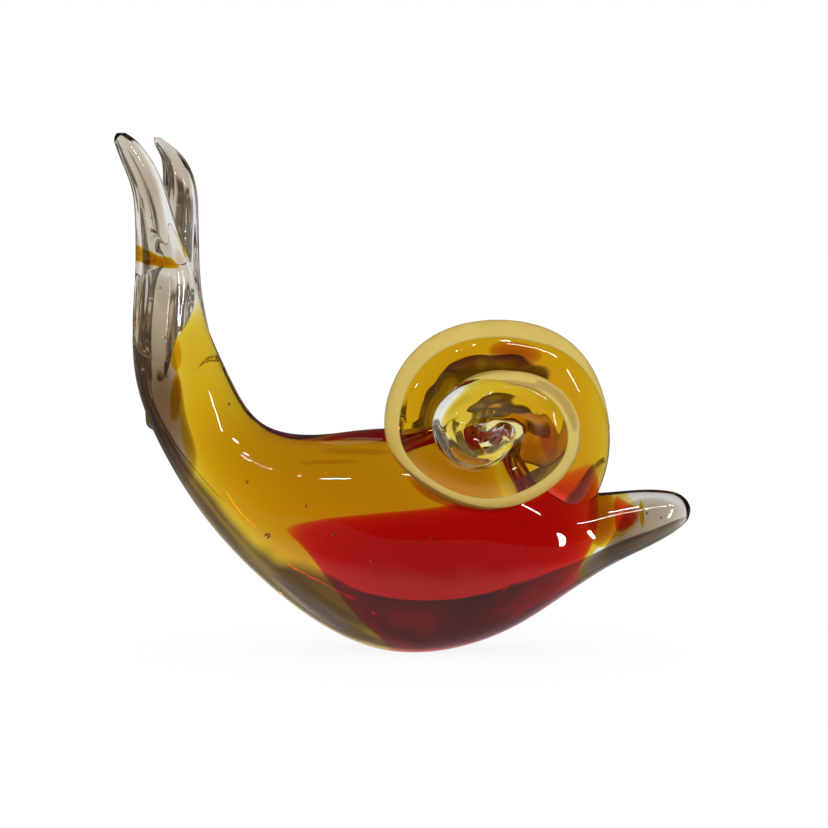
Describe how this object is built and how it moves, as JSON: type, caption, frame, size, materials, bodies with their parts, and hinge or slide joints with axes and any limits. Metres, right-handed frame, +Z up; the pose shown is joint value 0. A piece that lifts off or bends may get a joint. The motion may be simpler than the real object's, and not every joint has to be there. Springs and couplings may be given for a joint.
{
  "type": "glass snail ornament",
  "caption": "Table ornament of hot-worked cased glass: a snail with a ruby and amber body in clear glass, drawn feelers and tail, and a shell wound from a tapered amber rod",
  "frame": {"origin": "middle of the flat ground on the belly, on which the ornament rests", "axes": "+X from the head to the tail, +Y to the far side, away from the shell's eye, +Z up"},
  "size_m": [0.161, 0.0463, 0.146],
  "materials": {
    "clear_glass": "fire polished",
    "straw_glass": "fire polished",
    "amber_glass": "fire polished",
    "ruby_glass": "fire polished"
  },
  "bodies": {
    "root": {"clear_casing": "clear_glass", "amber_overlay": "amber_glass", "ruby_core": "ruby_glass", "head_bit": "clear_glass", "near_feeler": "clear_glass", "far_feeler": "clear_glass", "tail_tip": "clear_glass", "coil_casing": "straw_glass", "coil_core": "amber_glass", "coil_end_curl": "clear_glass"}
  },
  "joints": []
}
